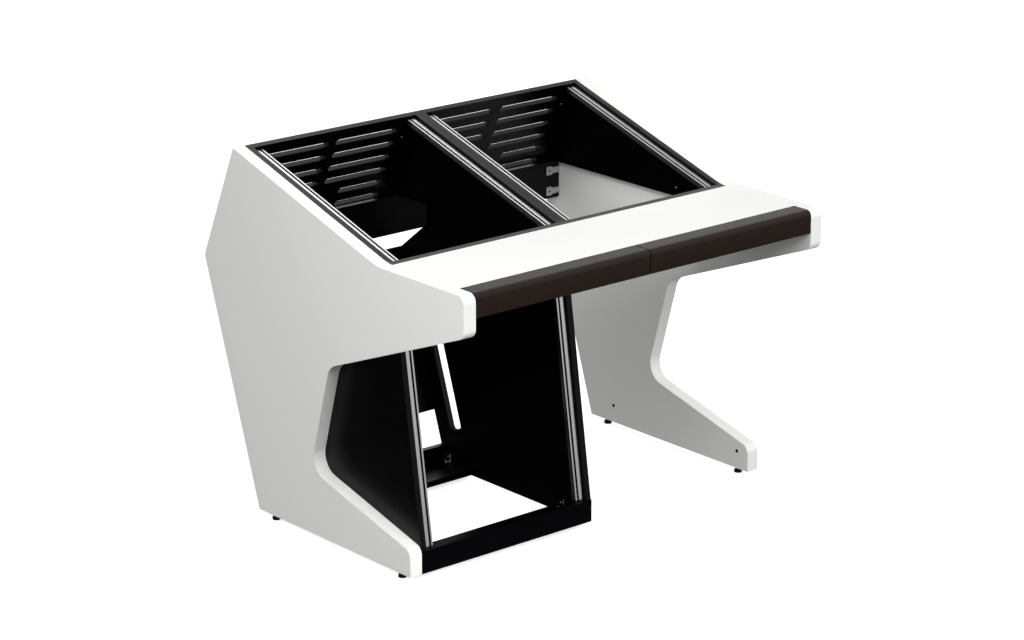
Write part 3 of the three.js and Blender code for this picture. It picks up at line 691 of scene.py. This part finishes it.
def latheMesh(name, profile, steps):  # profile of [radius, height], from axis to axis
    bm = bmesh.new()
    rings = []
    for radius, height in profile:
        if radius == 0:
            rings.append([bm.verts.new((0, 0, height))])
            continue
        rings.append([bm.verts.new((radius * math.cos(turn), radius * math.sin(turn), height))
                      for turn in (2 * math.pi * step / steps for step in range(steps))])
    for first, second in zip(rings, rings[1:]):
        for step in range(steps):
            after = (step + 1) % steps
            corners = [first[step % len(first)], first[after % len(first)],
                       second[after % len(second)], second[step % len(second)]]
            unique = list(dict.fromkeys(corners))
            if len(unique) > 2:
                bm.faces.new(unique)
    return meshFrom(bm, name)


def cutMesh(mesh, cutter, operation="DIFFERENCE"):
    body = addObject("cutBody", mesh)
    tool = addObject("cutTool", cutter)
    modifier = body.modifiers.new("cut", "BOOLEAN")
    modifier.operation = operation
    modifier.object = tool
    modifier.solver = "EXACT"
    shown = body.evaluated_get(bpy.context.evaluated_depsgraph_get())
    result = bpy.data.meshes.new_from_object(shown)
    result.name = mesh.name
    for extra in (body, tool):
        bpy.data.objects.remove(extra)
    return result


screwSizes = {
    "headRadius": 3.2 * mm,
    "headHeight": 1.6 * mm,
    "shankRadius": 1.5 * mm,
    "recessWidth": 0.75 * mm,
    "recessLength": 3.3 * mm,
    "recessDepth": 0.9 * mm,
    "recessTaper": 0.55,      # size of the recess at its foot
    "rim": 0.35,              # share of the head's height that is its upright rim
    "gap": 0.3 * mm,
    "steps": 40,
    "domeSteps": 8,
}


def crossArm(top, turn):  # one arm of the cross recess
    width, length, depth = screwSizes["recessWidth"], screwSizes["recessLength"], screwSizes["recessDepth"]
    bm = bmesh.new()
    box = bmesh.ops.create_cube(bm, size=1.0)["verts"]
    for vert in box:
        taper = screwSizes["recessTaper"] if vert.co.z < 0 else 1.0
        vert.co = Vector((vert.co.x * length * taper, vert.co.y * width * taper, top + vert.co.z * 2 * depth))
    bmesh.ops.rotate(bm, verts=box, cent=(0, 0, 0), matrix=Matrix.Rotation(math.radians(turn), 3, "Z"))
    return meshFrom(bm, "crossArm", outward=False)


def panHeadMesh():
    radius, height, gap = screwSizes["headRadius"], screwSizes["headHeight"], screwSizes["gap"]
    shank, rim, steps = screwSizes["shankRadius"], screwSizes["rim"], screwSizes["domeSteps"]
    turns = [math.radians(90) * step / steps for step in range(steps)]
    dome = [(radius * math.cos(turn), gap + height * (rim + (1 - rim) * math.sin(turn))) for turn in turns]
    profile = [(0, -2 * gap), (shank, -2 * gap), (shank, gap), (radius, gap), *dome, (0, gap + height)]
    head = latheMesh("panHead", profile, screwSizes["steps"])
    for turn in (0, 90):  # one arm after the other: both at once leave nothing
        head = cutMesh(head, crossArm(gap + height, turn))
    return head


def seatMatrix(place, out, spin):  # origin on the face under the head, Z out of that face
    turn = Vector(out).to_track_quat("Z", "Y").to_matrix().to_4x4()
    return Matrix.Translation(place) @ turn @ Matrix.Rotation(spin, 4, "Z")


panHead = panHeadMesh()
panHead.materials.append(zincSteel)


def seatPiece(name, mesh, place, out, spin):
    piece = addObject(name, mesh)
    piece.matrix_world = seatMatrix(place, out, spin)
    evenShading(piece)
    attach(piece, "desk")
    return piece


def addScrew(name, place, out, spin):
    return seatPiece(name, panHead, place, out, spin)


ventFaces = [face for face in nodes["rear_vent_panel"].data.polygons if face.normal.y < 0]
ventNormal = max(ventFaces, key=lambda face: face.area).normal.copy()  # out of the panel, into the bays
for index in range(1, 5):
    node = f"vent_panel_screw_{index}"
    low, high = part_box(node)
    top = max(vert.co.dot(ventNormal) for vert in nodes[node].data.vertices)
    centre = (low + high) / 2
    centre += ventNormal * (top - screwSizes["headHeight"] - screwSizes["gap"] - centre.dot(ventNormal))
    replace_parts(addScrew(f"vent_screw_{index}", centre, ventNormal, spin=0.4 + 0.7 * index), node)

inwards = (("left", 1), ("right", -1))  # the way in along X from each side
bracket = {"thickness": 2 * mm, "leg": 20 * mm}
for end in ("front", "rear"):
    for word, side in inwards:
        low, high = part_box(f"{end}_bracket_{word}")
        cornerX = low.x if side > 0 else high.x
        depth = (low.y + high.y) / 2
        thick = bracket["thickness"]
        legMiddle = (thick + bracket["leg"]) / 2
        onBoard = Vector((cornerX + side * legMiddle, depth, low.z + thick))
        onSide = Vector((cornerX + side * thick, depth, low.z + legMiddle))
        addScrew(f"{end}_bracket_board_screw_{word}", onBoard, (0, 0, 1), spin=0.3)
        addScrew(f"{end}_bracket_side_screw_{word}", onSide, (side, 0, 0), spin=0.9)

sideScrew = {"fromFront": 147 * mm, "fromFoot": 23 * mm}  # one low in each outer board of the bays
for word, side in inwards:
    low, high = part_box(f"rack_side_{word}")
    faceX = high.x if side > 0 else low.x
    place = Vector((faceX, low.y + sideScrew["fromFront"], low.z + sideScrew["fromFoot"]))
    addScrew(f"rack_side_screw_{word}", place, (side, 0, 0), spin=0.6)

plateScrew = {  # socket screws that fill the holes of the stretcher's plates
    "headRadius": 3.05 * mm,
    "headHeight": 2.1 * mm,
    "sunk": 1.2 * mm,
    "bevel": 0.35 * mm,
    "socketRadius": 1.45 * mm,
    "socketDepth": 1.3 * mm,
    "fromEnd": 11 * mm,
    "steps": 40,
}


def socketHeadMesh():
    radius, top, bevel = plateScrew["headRadius"], -plateScrew["sunk"], plateScrew["bevel"]
    low = top - plateScrew["headHeight"]
    head = latheMesh("socketHead", [
        (0, low), (radius, low), (radius, top - bevel), (radius - bevel, top), (0, top)], plateScrew["steps"])
    reach, depth = plateScrew["socketRadius"], plateScrew["socketDepth"]
    socket = latheMesh("socket", [
        (0, top - depth), (reach, top - depth), (reach, top + depth), (0, top + depth)], 6)
    return cutMesh(head, socket)


socketHead = socketHeadMesh()
socketHead.materials.append(blackSteel)
for level in ("upper", "lower"):
    for word, side in inwards:
        low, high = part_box(f"stretcher_plate_{level}_{word}")
        freeEnd = high.x if side > 0 else low.x
        place = Vector((freeEnd - side * plateScrew["fromEnd"], low.y, (low.z + high.z) / 2))
        name = f"plate_screw_{level}_{word}"
        seatPiece(name, socketHead, place, (0, -1, 0), spin=0.2)

insert = {  # threaded inserts in the side panels' spare holes
    "flangeRadius": 4.6 * mm,
    "flangeHeight": 0.5 * mm,
    "bodyRadius": 3.6 * mm,
    "boreRadius": 2.6 * mm,
    "threadDepth": 0.35 * mm,
    "pitch": 1.25 * mm,
    "depth": 9 * mm,
    "bevel": 0.3 * mm,
    "threadStart": 0.4 * mm,
    "floor": 0.8 * mm,        # thickness under the bore
    "neck": (-0.1 * mm, 0.05 * mm),  # heights of the body's upper end, around the panel's face
    "rim": 0.7,               # share of the flange's height that is its upright rim
    "places": ((-259.114 * mm, 64 * mm), (209.886 * mm, 64 * mm)),  # depth and height of each hole
    "steps": 40,
}


def insertMesh():
    bore, body, flange = insert["boreRadius"], insert["bodyRadius"], insert["flangeRadius"]
    depth, pitch, top, bevel = insert["depth"], insert["pitch"], insert["flangeHeight"], insert["bevel"]
    neckLow, neckHigh = insert["neck"]
    outside = [(0, -depth), (body, -depth), (body, neckLow), (body, neckHigh), (flange, neckHigh)]
    rim = [(flange, insert["rim"] * top), (flange - bevel, top), (bore + bevel, top), (bore, top - bevel)]
    thread = []
    for turn in range(int((depth - pitch) / pitch)):
        crest = -insert["threadStart"] - turn * pitch
        thread += [(bore, crest), (bore + insert["threadDepth"], crest - pitch / 2)]
    low = -depth + insert["floor"]
    return latheMesh("threadedInsert", outside + rim + thread + [(bore, low), (0, low)], insert["steps"])


insertShape = insertMesh()
insertShape.materials.append(blackSteel)
for word, side in inwards:
    low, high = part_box(f"side_panel_{word}")
    faceX = high.x if side > 0 else low.x
    for end, (depth, height) in zip(("front", "rear"), insert["places"]):
        place = Vector((faceX, depth, height))
        seatPiece(f"{end}_insert_{word}", insertShape, place, (side, 0, 0), spin=0.0)
print("screws ready")


# Levelling feet: pad, threaded stem and hexagonal collar

foot = {
    "padRadius": 10.2 * mm,
    "padHeight": 9 * mm,
    "padRound": 1.6 * mm,
    "padBore": 4 * mm,        # height at which the pad's bore ends
    "boreGap": 0.1 * mm,      # between the stem and the bore
    "boreBevel": 0.3 * mm,
    "soleRise": 0.4 * mm,     # hollow under the pad
    "soleEdge": (0.62, 0.66),  # shares of the radius where the hollow slopes down
    "hubRadius": 6.2 * mm,
    "hubDrop": 1.2 * mm,
    "hubBevel": 0.4 * mm,
    "stemRadius": 4 * mm,
    "threadDepth": 0.55 * mm,
    "pitch": 1.25 * mm,
    "threadLow": -4.9 * mm,
    "collarAcross": 12 * mm,
    "collarHeight": 3 * mm,
    "collarGap": 0.3 * mm,    # between pad and collar
    "collarSlope": 0.45 * mm,
    "collarDrop": 1.6,        # how far the turned corners drop, over that slope
    "steps": 48,
    "arcSteps": 6,
}


def padMesh():
    radius, height, bend, rise = foot["padRadius"], foot["padHeight"], foot["padRound"], foot["soleRise"]
    shoulder, hubRadius, boreLow = height - foot["hubDrop"], foot["hubRadius"], foot["padBore"]
    bore, bevel = foot["stemRadius"] + foot["boreGap"], foot["boreBevel"]
    arc = [math.radians(90) * step / foot["arcSteps"] for step in range(foot["arcSteps"] + 1)]
    inner, outer = foot["soleEdge"]
    sole = [(0, rise), (radius * inner, rise), (radius * outer, 0)]
    lower = [(radius - bend / 2 + bend / 2 * math.sin(turn), bend / 2 * (1 - math.cos(turn))) for turn in arc]
    upper = [(radius - bend + bend * math.cos(turn), shoulder - bend + bend * math.sin(turn)) for turn in arc]
    hub = [(hubRadius, shoulder), (hubRadius - foot["hubBevel"], height), (bore + bevel, height),
           (bore, height - bevel), (bore, boreLow), (0, boreLow)]
    return latheMesh("footPad", sole + lower + upper + hub, foot["steps"])


def stemMesh(low, high):
    radius, depth, pitch, steps = foot["stemRadius"], foot["threadDepth"], foot["pitch"], foot["steps"]
    count = round((high - low) / (pitch / 8))
    bm = bmesh.new()
    rings = []
    for level in range(count + 1):
        height = low + (high - low) * level / count
        fade = min(1.0, (high - height) / pitch)
        ring = []
        for step in range(steps):
            turn = 2 * math.pi * step / steps
            phase = (height / pitch - step / steps) % 1.0
            cut = depth * (1 - abs(2 * phase - 1)) if height > foot["threadLow"] else depth / 2
            place = radius - depth + (depth - cut) * fade
            ring.append(bm.verts.new((place * math.cos(turn), place * math.sin(turn), height)))
        rings.append(ring)
    for first, second in zip(rings, rings[1:]):
        for step in range(steps):
            after = (step + 1) % steps
            bm.faces.new((first[step], first[after], second[after], second[step]))
    bm.faces.new(list(reversed(rings[0])))
    bm.faces.new(rings[-1])
    return meshFrom(bm, "footStem")


def collarMesh(low):  # a hexagon with its corners turned off
    across, high, slope = foot["collarAcross"] / 2, low + foot["collarHeight"], foot["collarSlope"]
    corner, drop = across / math.cos(math.radians(30)), foot["collarDrop"] * slope
    prism = latheMesh("collar", [(0, low), (corner, low), (corner, high), (0, high)], 6)
    cone = latheMesh("cone", [
        (0, low), (across - slope, low), (corner + slope, low + drop),
        (corner + slope, high - drop), (across - slope, high), (0, high)], foot["steps"])
    return cutMesh(prism, cone, "INTERSECT")


padShape = padMesh()
padShape.materials.append(footPlastic)
for end in ("front", "rear"):
    for word in ("left", "right"):
        tag = f"{end}_{word}"
        low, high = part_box(f"foot_pad_{tag}")
        centre = Vector(((low.x + high.x) / 2, (low.y + high.y) / 2, 0))
        pad = addObject(f"levelling_pad_{tag}", padShape)
        pad.matrix_world = Matrix.Translation(centre)
        evenShading(pad)
        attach(pad, f"foot_pad_{tag}")
        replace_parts(pad, f"foot_pad_{tag}")
        low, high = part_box(f"foot_stem_{tag}")
        collarLow = foot["padHeight"] + foot["collarGap"]
        shapes = {"stem": stemMesh(low.z, high.z), "collar": collarMesh(collarLow)}
        for kind, shape in shapes.items():
            piece = addObject(f"levelling_{kind}_{tag}", shape, zincSteel)
            piece.matrix_world = Matrix.Translation(centre)
            evenShading(piece)
            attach(piece, f"foot_stem_{tag}")
            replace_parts(piece, f"foot_stem_{tag}")
print("feet ready")


# Floor, light and camera

studioFloor = {
    "half": 14.0,
    "color": (0.88, 0.88, 0.88),
    "drift": 0.004,
    "driftSize": 1.5,
    "roughness": 0.9,
    "specular": 0.1,
    "glow": 0.75,
}


def makeFloor():
    half = studioFloor["half"]
    mesh = bpy.data.meshes.new("floor")
    corners = [(-half, -half, 0), (half, -half, 0), (half, half, 0), (-half, half, 0)]
    mesh.from_pydata(corners, [], [(0, 1, 2, 3)])
    material = bpy.data.materials.new("floorPaint")
    material.use_nodes = True
    tree = material.node_tree
    surface = tree.nodes["Principled BSDF"]
    place = tree.nodes.new("ShaderNodeTexCoord").outputs["Object"]
    drift = driftBy(tree, studioFloor, place)
    tree.links.new(tintedColor(tree, studioFloor["color"], drift), surface.inputs["Base Color"])
    surface.inputs["Roughness"].default_value = studioFloor["roughness"]
    surface.inputs["Specular IOR Level"].default_value = studioFloor["specular"]
    surface.inputs["Emission Color"].default_value = (1, 1, 1, 1)
    surface.inputs["Emission Strength"].default_value = studioFloor["glow"]
    floor = addObject("studio_floor", mesh, material)
    floor.visible_glossy = False
    floor.visible_diffuse = False


sky = {
    "middle": 0.42,                # light from the horizon
    "turn": (-0.10, 0.19, 0.36),   # how it grows towards +X, +Y and +Z
    "mirrorTop": 1.6,              # brightest part that gloss shows
    "mirrorLevels": (              # share of it at each height, from -1 at the foot to 1 overhead
        (-0.2, 0.0125), (-0.1, 0.156), (0.1, 0.26), (0.3, 0.86), (0.6, 0.70), (1.0, 0.68)),
    "strip": 0.27,                 # bright strip low at the front, in gloss only
    "stripHeight": (0.22, 0.10),   # from where it starts to where it is full
    "stripFront": (-0.25, -0.5),
}
litPanel = {  # a lit panel high behind and the dark beside it, which the sloping tops mirror
    "levels": ((0.27, 1.0), (0.37, 2.5), (0.585, 2.5), (0.60, 0.0), (0.88, 0.0), (0.97, 1.0)),  # along X
    "most": 3.0,
    "height": (0.50, 0.62),        # from where it starts to where it is full
    "depth": 0.47,                 # its middle along Y
    "depthReach": (0.40, 0.25),
}


def toneRamp(tree, value, levels):  # grey levels at places from 0 to 1
    ramp = addNode(tree, "ShaderNodeValToRGB", {"Fac": value})
    stops = ramp.color_ramp.elements
    stops[0].position, stops[1].position = levels[0][0], levels[-1][0]
    for place, _ in levels[1:-1]:
        stops.new(place)
    for stop, (_, level) in zip(stops, levels):
        stop.color = (level, level, level, 1)
    return ramp.outputs["Color"]


def makeLitPanel(tree, parts):  # factor on the sky's light
    most = litPanel["most"]
    along = toneRamp(tree, parts.outputs["X"], [(place, level / most) for place, level in litPanel["levels"]])
    aside = maths(tree, "ABSOLUTE", maths(tree, "SUBTRACT", parts.outputs["Y"], litPanel["depth"]))
    share = maths(tree, "MULTIPLY", softStep(tree, parts.outputs["Z"], litPanel["height"]),
                  softStep(tree, aside, litPanel["depthReach"]))
    change = maths(tree, "SUBTRACT", maths(tree, "MULTIPLY", along, most), 1.0)
    return maths(tree, "ADD", maths(tree, "MULTIPLY", change, share), 1.0)


def makeSky():
    world = bpy.data.worlds.new("studioSky")
    bpy.context.scene.world = world
    world.use_nodes = True
    tree = world.node_tree
    background = tree.nodes["Background"]
    direction = tree.nodes.new("ShaderNodeTexCoord").outputs["Generated"]
    parts = addNode(tree, "ShaderNodeSeparateXYZ", {"Vector": direction})
    soft = addNode(tree, "ShaderNodeVectorMath", operation="DOT_PRODUCT")
    tree.links.new(direction, soft.inputs[0])
    soft.inputs[1].default_value = sky["turn"]
    spread = maths(tree, "MAXIMUM", maths(tree, "ADD", soft.outputs["Value"], sky["middle"]), 0.0)
    height = maths(tree, "ADD", maths(tree, "MULTIPLY", parts.outputs["Z"], 0.5), 0.5)
    ramp = toneRamp(tree, height, [((place + 1) / 2, level) for place, level in sky["mirrorLevels"]])
    nearHorizon = softStep(tree, maths(tree, "ABSOLUTE", parts.outputs["Z"]), sky["stripHeight"])
    inFront = softStep(tree, parts.outputs["Y"], sky["stripFront"])
    strip = maths(tree, "MULTIPLY", maths(tree, "MULTIPLY", nearHorizon, inFront), sky["strip"])
    mirrored = maths(tree, "MULTIPLY", maths(tree, "ADD", ramp, strip), sky["mirrorTop"])
    rays = tree.nodes.new("ShaderNodeLightPath").outputs
    light = addNode(tree, "ShaderNodeMix", {
        "Factor": rays["Is Glossy Ray"], "A": spread, "B": mirrored}, data_type="FLOAT")
    light = maths(tree, "MULTIPLY", light.outputs["Result"], makeLitPanel(tree, parts))
    shown = addNode(tree, "ShaderNodeMix", {
        "Factor": rays["Is Camera Ray"], "A": light, "B": 1.0}, data_type="FLOAT")
    tree.links.new(shown.outputs["Result"], background.inputs["Color"])
    background.inputs["Strength"].default_value = 1.0


softboxes = {
    "left": {"place": (-1.9, -1.0, 1.5), "target": (-0.57, -0.3, 0.7), "size": 1.1, "power": 14},
    "front": {"place": (1.2, -5.5, 0.6), "target": (0, -0.3, 0.4), "size": 2.0, "power": 134},
    "high": {"place": (-0.9, -4.4, 3.8), "target": (0, -0.3, 0.4), "size": 1.6, "power": 104},
    "top": {"place": (0.2, -0.3, 3.1), "target": (0.2, 0, 0.7), "size": 1.6, "power": 6.2},
    "toe": {  # small light for the left panel's toe
        "place": (-0.68, -2.3, 1.6), "target": (-0.552, -0.42, 0.17),
        "size": 0.2, "power": 0.21, "spread": 18},
    "bay": {  # small light for the right bay
        "place": (-0.35, -0.35, 1.5), "target": (0.534, 0.16, 0.62),
        "size": 0.3, "power": 0.21, "spread": 30},
}


def addSoftbox(name, place, target, size, power, spread=180):
    light = bpy.data.lights.new(name, "AREA")
    light.size = size
    light.energy = power
    light.spread = math.radians(spread)
    box = bpy.data.objects.new(name, light)
    bpy.context.scene.collection.objects.link(box)
    aim = (Vector(target) - Vector(place)).to_track_quat("-Z", "Y")
    box.matrix_world = Matrix.Translation(place) @ aim.to_matrix().to_4x4()
    box.visible_glossy = False
    box.visible_camera = False


cameraView = {
    "place": (-5.0008, -5.8516, 2.8992),
    "turn": 40.5117,          # degrees from +Y towards +X
    "drop": 17.5636,          # degrees below level
    "lens": 114.55,
    "sensor": 36,
}


def makeCamera():
    data = bpy.data.cameras.new("camera")
    data.sensor_fit = "HORIZONTAL"
    data.sensor_width = cameraView["sensor"]
    data.lens = cameraView["lens"]
    data.clip_end = 100
    camera = bpy.data.objects.new("camera", data)
    bpy.context.scene.collection.objects.link(camera)
    camera.location = cameraView["place"]
    turn, drop = math.radians(cameraView["turn"]), math.radians(cameraView["drop"])
    camera.rotation_euler = (math.pi / 2 - drop, 0, -turn)
    bpy.context.scene.camera = camera


makeFloor()
makeSky()
for side, box in softboxes.items():
    addSoftbox(side + "Softbox", **box)
makeCamera()
bpy.context.scene.view_settings.view_transform = "Standard"
print("stage ready")
